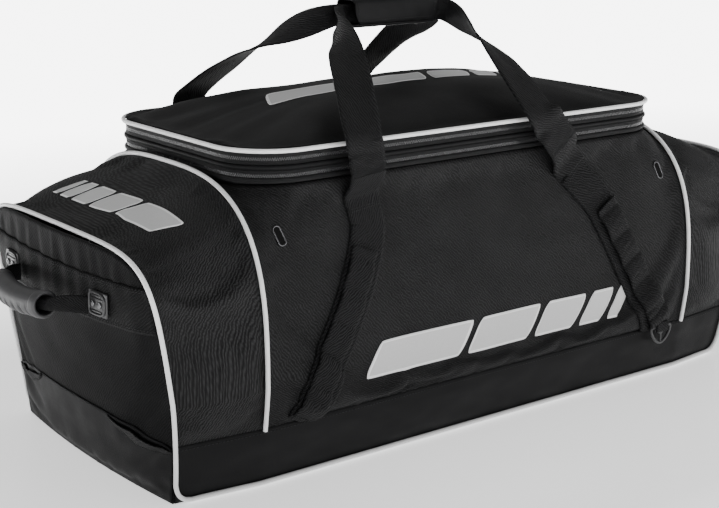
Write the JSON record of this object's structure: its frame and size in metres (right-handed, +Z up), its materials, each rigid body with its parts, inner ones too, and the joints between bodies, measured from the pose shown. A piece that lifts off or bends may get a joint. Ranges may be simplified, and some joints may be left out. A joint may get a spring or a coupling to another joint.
{
  "type": "hockey equipment bag",
  "caption": "Soft-sided sports equipment bag with a domed zip-open lid, piped end pockets, folding carry straps in a padded wrap and rubber end grips.",
  "frame": {"origin": "centre of the bag's underside, on the surface it stands on", "axes": "+Z up; +X along the bag's length, to the right seen from the front; -Y is the front"},
  "size_m": [1.1136, 0.4385, 0.527],
  "materials": {
    "coated_fabric": "smooth coated cloth with a dull sheen",
    "base_board": "matte",
    "woven_fabric": "coarse woven, matte",
    "piping": "soft satin",
    "zip_tape": "fine ribbed tape",
    "webbing": "ribbed webbing",
    "grip_rubber": "satin",
    "hard_plastic": "satin",
    "eyelet": "glossy"
  },
  "bodies": {
    "bag": {"back_boot_panel": "coated_fabric", "back_left_anchor_webbing": "webbing", "back_left_daisy_chain": "webbing", "back_left_vent_eyelet": "eyelet", "back_panel": "woven_fabric", "back_right_anchor_webbing": "webbing", "back_right_daisy_chain": "webbing", "back_right_vent_eyelet": "eyelet", "base_board": "base_board", "body_zip_tape": "zip_tape", "edge_piping": "piping", "floor_panel": "coated_fabric", "front_boot_panel": "coated_fabric", "front_left_anchor_webbing": "webbing", "front_left_daisy_chain": "webbing", "front_left_vent_eyelet": "eyelet", "front_panel": "woven_fabric", "front_right_anchor_webbing": "webbing", "front_right_daisy_chain": "webbing", "front_right_vent_eyelet": "eyelet", "left_back_fitting": "hard_plastic", "left_back_rivet_plate": "hard_plastic", "left_divider": "woven_fabric", "left_end_panel": "woven_fabric", "left_front_fitting": "hard_plastic", "left_front_rivet_plate": "hard_plastic", "left_handle_patch": "woven_fabric", "left_pocket_shell": "woven_fabric", "left_seam_piping": "piping", "right_back_fitting": "hard_plastic", "right_back_rivet_plate": "hard_plastic", "right_divider": "woven_fabric", "right_end_panel": "woven_fabric", "right_front_fitting": "hard_plastic", "right_front_rivet_plate": "hard_plastic", "right_handle_patch": "woven_fabric", "right_pocket_shell": "woven_fabric", "right_seam_piping": "piping", "ring_tab": "webbing"},
    "collar": {"collar_band": "zip_tape", "expansion_gusset": "woven_fabric"},
    "lid": {"lid_zip_tape": "zip_tape", "lid_panel": "woven_fabric", "lid_piping": "piping"},
    "front_strap": {"front_strap_webbing": "webbing"},
    "back_strap": {"back_strap_webbing": "webbing", "wrap_pad": "coated_fabric"},
    "wrap_flap": {"wrap_flap": "coated_fabric"},
    "strap_ring": {"strap_ring": "hard_plastic"},
    "left_handle": {"left_grip": "grip_rubber", "left_grip_core": "webbing"},
    "right_handle": {"right_grip": "grip_rubber", "right_grip_core": "webbing"},
    "lid_front_slider": {"lid_front_slider": "hard_plastic"},
    "lid_front_pull": {"lid_front_pull": "hard_plastic"},
    "lid_back_slider": {"lid_back_slider": "hard_plastic"},
    "lid_back_pull": {"lid_back_pull": "hard_plastic"},
    "expansion_slider": {"expansion_slider": "hard_plastic"},
    "expansion_pull": {"expansion_pull": "hard_plastic"}
  },
  "joints": [
    {"name": "expansion_slide", "type": "slide", "parent": "bag", "child": "collar", "axis": [0, 0, 1], "range_m": [0, 0.04]},
    {"name": "lid_hinge", "type": "hinge", "parent": "collar", "child": "lid", "pos_m": [0, 0.17, 0.3692], "axis": [-1, 0, 0], "range_deg": [0, 90]},
    {"name": "front_strap_fold", "type": "hinge", "parent": "collar", "child": "front_strap", "pos_m": [0, -0.202, 0.345], "axis": [1, 0, 0], "range_deg": [0, 180]},
    {"name": "back_strap_fold", "type": "hinge", "parent": "collar", "child": "back_strap", "pos_m": [0, 0.202, 0.345], "axis": [-1, 0, 0], "range_deg": [0, 180]},
    {"name": "wrap_flap_hinge", "type": "hinge", "parent": "back_strap", "child": "wrap_flap", "pos_m": [0, 0.01825, 0.516], "axis": [-1, 0, 0], "range_deg": [0, 110]},
    {"name": "strap_ring_hinge", "type": "hinge", "parent": "bag", "child": "strap_ring", "pos_m": [0.30056, -0.21482, 0.074], "axis": [-1, 0, 0], "range_deg": [0, 100]},
    {"name": "left_handle_hinge", "type": "hinge", "parent": "bag", "child": "left_handle", "pos_m": [-0.50146, 0, 0.224], "axis": [0, 1, 0], "range_deg": [0, 66]},
    {"name": "right_handle_hinge", "type": "hinge", "parent": "bag", "child": "right_handle", "pos_m": [0.50146, 0, 0.224], "axis": [0, -1, 0], "range_deg": [0, 66]},
    {"name": "lid_front_zip", "type": "slide", "parent": "collar", "child": "lid_front_slider", "axis": [0, -1, 0], "range_m": [0, 0.04]},
    {"name": "lid_back_zip", "type": "slide", "parent": "collar", "child": "lid_back_slider", "axis": [0, 1, 0], "range_m": [0, 0.04]},
    {"name": "expansion_zip", "type": "slide", "parent": "bag", "child": "expansion_slider", "axis": [0, 1, 0], "range_m": [-0.03, 0.03]},
    {"name": "lid_front_pull_hinge", "type": "hinge", "parent": "lid_front_slider", "child": "lid_front_pull", "pos_m": [0.3454, -0.052, 0.3724], "axis": [0, -1, 0], "range_deg": [0, 110]},
    {"name": "lid_back_pull_hinge", "type": "hinge", "parent": "lid_back_slider", "child": "lid_back_pull", "pos_m": [0.3454, -0.033, 0.3724], "axis": [0, -1, 0], "range_deg": [0, 110]},
    {"name": "expansion_pull_hinge", "type": "hinge", "parent": "expansion_slider", "child": "expansion_pull", "pos_m": [0.3454, 0.06, 0.3531], "axis": [0, -1, 0], "range_deg": [0, 80]}
  ],
  "couplings": [
    {"joint": "front_strap_fold", "follows": "lid_hinge", "ratio": 2},
    {"joint": "back_strap_fold", "follows": "lid_hinge", "ratio": 2}
  ]
}
